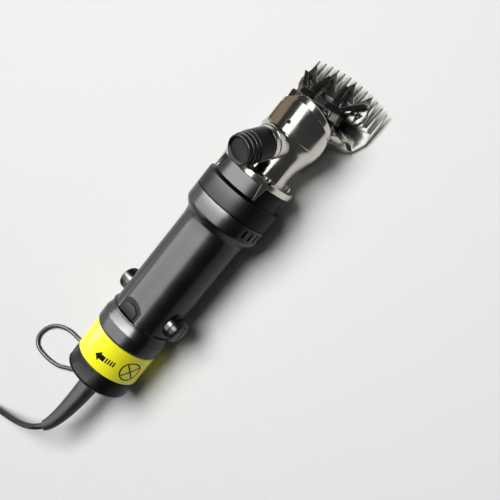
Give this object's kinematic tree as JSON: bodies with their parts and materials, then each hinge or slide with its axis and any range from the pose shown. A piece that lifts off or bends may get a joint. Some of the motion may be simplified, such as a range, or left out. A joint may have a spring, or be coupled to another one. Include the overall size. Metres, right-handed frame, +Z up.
{
  "type": "sheep shears",
  "caption": "Mains electric sheep shears: black motor grip, cast aluminium head, comb and cutter, tension knob, hanging loop and coiled supply cord.",
  "frame": {"origin": "on the floor, under the middle of the tool without its cord, plug and coil", "axes": "+X from the rear cap to the comb tips, +Y to the tool's left (the hanging loop's side), +Z up from the floor; the tool lies nose-up by 1.7 degrees on its cover ring and rear cap"},
  "size_m": [0.5052, 0.1859, 0.0851],
  "materials": {
    "black_plastic": "semi-gloss moulded black",
    "label": "printed yellow band, satin",
    "cast_aluminium": "cast and polished",
    "steel": "ground and polished",
    "dark_steel": "blackened, glossy",
    "nickel": "nickel plated",
    "brass": "plain",
    "copper": "copper, plain or enamelled wire",
    "carbon": "pressed carbon, matt",
    "lamination": "stacked electrical steel",
    "nylon": "natural nylon, matt",
    "rubber": "matt black rubber",
    "cord": "glossy black cord sheath"
  },
  "bodies": {
    "handpiece": {"rear_cap": "black_plastic", "label_band": "label", "motor_housing": "black_plastic", "switch_body": "nylon", "brush_cap_left": "black_plastic", "brush_holder_left": "brass", "carbon_brush_left": "carbon", "brush_cap_right": "black_plastic", "brush_holder_right": "brass", "carbon_brush_right": "carbon", "stator_core": "lamination", "field_coil_upper": "copper", "field_coil_lower": "copper", "rear_bearing": "steel", "front_bearing": "steel", "rear_bearing_bracket": "nylon", "bearing_plate": "cast_aluminium", "idler_pin": "steel", "crank_bearing": "steel", "gear_cover": "black_plastic", "head_screw_1": "nickel", "head_screw_2": "nickel", "head_screw_3": "nickel", "head_screw_4": "nickel", "head_casting": "cast_aluminium", "tension_bush": "brass", "fulcrum_post": "steel", "comb": "steel", "comb_screw_left": "steel", "comb_screw_right": "steel", "strain_relief": "rubber", "cord_tube": "cord", "cord_coil": "cord", "plug_body": "black_plastic", "plug_pin_left": "nickel", "plug_pin_right": "nickel"},
    "armature": {"armature_core": "lamination", "winding_front": "copper", "winding_rear": "copper", "commutator": "copper", "motor_shaft": "steel", "cooling_fan": "nylon", "pinion": "steel"},
    "idler": {"idler_gear": "steel"},
    "crank": {"output_gear": "steel", "crankshaft": "steel", "crank_roller": "brass"},
    "switch": {"switch_slider": "black_plastic"},
    "tension": {"tension_pin": "steel"},
    "knob": {"tension_knob": "black_plastic", "knob_cap": "black_plastic"},
    "fork": {"fork_body": "dark_steel", "fork_foot_left": "dark_steel", "fork_foot_right": "dark_steel", "fork_screw_left": "nickel", "fork_screw_right": "nickel", "cutter": "steel"},
    "loop": {"hanging_loop": "rubber"}
  },
  "joints": [
    {"name": "motor_spin", "type": "hinge", "parent": "handpiece", "child": "armature", "pos_m": [-0.00404, -0.02378, 0.03106], "axis": [0.9996, 0, 0.0294], "continuous": true},
    {"name": "idler_spin", "type": "hinge", "parent": "handpiece", "child": "idler", "pos_m": [0.05637, -0.02378, 0.01783], "axis": [0.9996, 0, 0.0294], "continuous": true},
    {"name": "crank_spin", "type": "hinge", "parent": "handpiece", "child": "crank", "pos_m": [0.07592, -0.02378, 0.03341], "axis": [0.9996, 0, 0.0294], "continuous": true},
    {"name": "fork_swing", "type": "hinge", "parent": "handpiece", "child": "fork", "pos_m": [0.1162, -0.02378, 0.02459], "axis": [-0.0294, 0, 0.9996], "range_deg": [-14.4, 0]},
    {"name": "switch_slide", "type": "slide", "parent": "handpiece", "child": "switch", "axis": [0.9996, 0, 0.0294], "range_m": [0, 0.004]},
    {"name": "tension_feed", "type": "slide", "parent": "handpiece", "child": "tension", "axis": [-0.54, 0, 0.8417], "range_m": [0, 0.003]},
    {"name": "knob_turn", "type": "hinge", "parent": "tension", "child": "knob", "pos_m": [0.11388, -0.02378, 0.05253], "axis": [-0.54, 0, 0.8417], "range_deg": [0, 720]},
    {"name": "loop_swing", "type": "hinge", "parent": "handpiece", "child": "loop", "pos_m": [-0.1201, -0.00378, 0.00424], "axis": [0.9996, 0, 0.0294], "range_deg": [0, 45]}
  ],
  "couplings": [
    {"joint": "idler_spin", "follows": "motor_spin", "ratio": -0.29032},
    {"joint": "crank_spin", "follows": "motor_spin", "ratio": 0.12442},
    {"joint": "knob_turn", "follows": "tension_feed", "rad_per_m": 4188.8}
  ]
}
